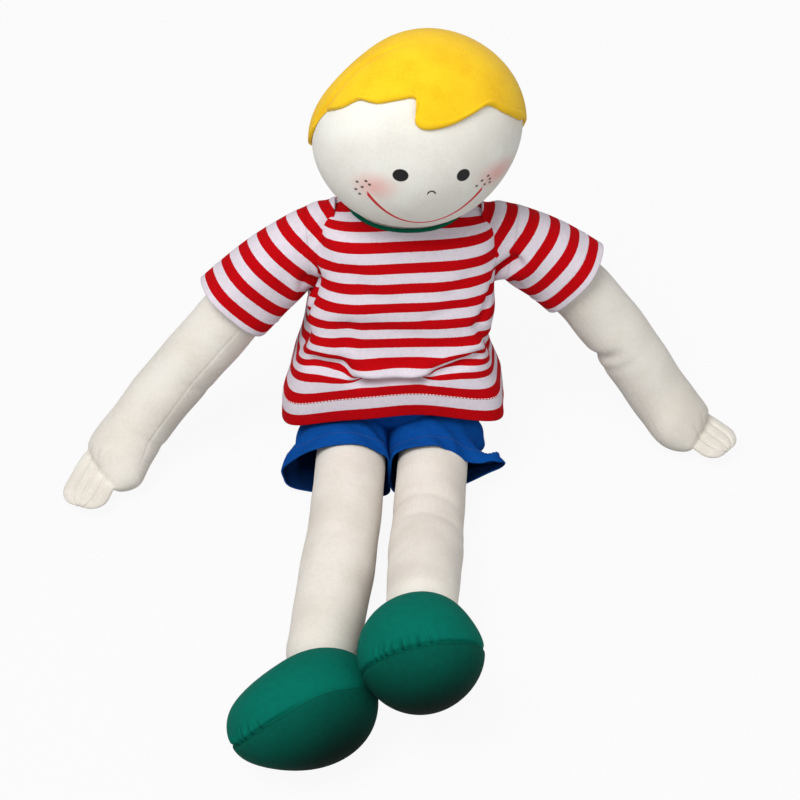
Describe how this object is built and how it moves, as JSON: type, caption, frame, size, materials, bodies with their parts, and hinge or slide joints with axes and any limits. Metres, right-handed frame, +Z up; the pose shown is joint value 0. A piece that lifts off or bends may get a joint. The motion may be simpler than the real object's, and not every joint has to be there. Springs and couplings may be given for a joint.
{
  "type": "rag doll",
  "caption": "Sitting stuffed rag doll with felt hair, a striped shirt, loose shorts and soft shoes; its head, arms and legs turn at sewn joints.",
  "frame": {"origin": "on the flat of the seat, in the floor plane below the hips", "axes": "+Z up, -Y the way the doll faces and its legs point, +X to the doll's left"},
  "size_m": [0.4769, 0.4132, 0.3249],
  "materials": {
    "ivory_knit": "fine cotton knit, matt",
    "yellow_felt": "wool felt, matt",
    "striped_knit": "cotton jersey in red and white stripes, matt",
    "green_binding": "ribbed cotton binding, matt",
    "blue_cotton": "woven cotton with topstitched hems, matt",
    "green_cotton": "brushed cotton, matt",
    "dark_green_cotton": "brushed cotton, matt",
    "fibre_filling": "polyester fibre",
    "white_elastic": "woven elastic"
  },
  "bodies": {
    "torso": {"torso": "ivory_knit", "shirt_front": "striped_knit", "shirt_back": "striped_knit", "neck_binding": "green_binding", "shorts_right": "blue_cotton", "shorts_left": "blue_cotton", "waistband": "blue_cotton", "waist_elastic": "white_elastic"},
    "neck": {"neck": "ivory_knit"},
    "head": {"head": "ivory_knit", "hair_front": "yellow_felt", "hair_back": "yellow_felt"},
    "shoulder_right": {"shoulder_gather_right": "ivory_knit"},
    "shoulder_left": {"shoulder_gather_left": "ivory_knit"},
    "arm_right": {"arm_right": "ivory_knit", "sleeve_right": "striped_knit"},
    "arm_left": {"arm_left": "ivory_knit", "sleeve_left": "striped_knit"},
    "leg_right": {"leg_right": "ivory_knit", "shoe_upper_right": "green_cotton", "shoe_sole_right": "dark_green_cotton", "foot_filling_right": "fibre_filling"},
    "leg_left": {"leg_left": "ivory_knit", "shoe_upper_left": "green_cotton", "shoe_sole_left": "dark_green_cotton", "foot_filling_left": "fibre_filling"}
  },
  "joints": [
    {"name": "neck_nod", "type": "hinge", "parent": "torso", "child": "neck", "pos_m": [0.00588, 0.02413, 0.18254], "axis": [0.9994, 0, -0.0349], "range_deg": [-12, 7]},
    {"name": "head_turn", "type": "hinge", "parent": "neck", "child": "head", "pos_m": [0.00588, 0.02413, 0.18254], "axis": [0.0862, 0.0289, 0.9959], "range_deg": [-45, 45]},
    {"name": "shoulder_raise_right", "type": "hinge", "parent": "torso", "child": "shoulder_right", "pos_m": [-0.05422, 0.02396, 0.16638], "axis": [-0.0061, 0.9848, -0.1735], "range_deg": [-8, 60], "deforming": ["sleeve_right"]},
    {"name": "shoulder_swing_right", "type": "hinge", "parent": "shoulder_right", "child": "arm_right", "pos_m": [-0.05422, 0.02396, 0.16638], "axis": [-0.9994, 0, 0.0349], "range_deg": [-35, 35]},
    {"name": "shoulder_raise_left", "type": "hinge", "parent": "torso", "child": "shoulder_left", "pos_m": [0.06371, 0.02396, 0.16226], "axis": [0.0061, -0.9848, 0.1735], "range_deg": [-8, 60], "deforming": ["sleeve_left"]},
    {"name": "shoulder_swing_left", "type": "hinge", "parent": "shoulder_left", "child": "arm_left", "pos_m": [0.06371, 0.02396, 0.16226], "axis": [-0.9994, 0, 0.0349], "range_deg": [-35, 35]},
    {"name": "hip_swing_right", "type": "hinge", "parent": "torso", "child": "leg_right", "pos_m": [-0.032, -0.008, 0.0285], "axis": [0.9063, 0, -0.4226], "range_deg": [0, 80], "deforming": ["shorts_right"]},
    {"name": "hip_swing_left", "type": "hinge", "parent": "torso", "child": "leg_left", "pos_m": [0.026, -0.008, 0.0285], "axis": [0.9063, 0, 0.4226], "range_deg": [0, 80], "deforming": ["shorts_left"]}
  ]
}
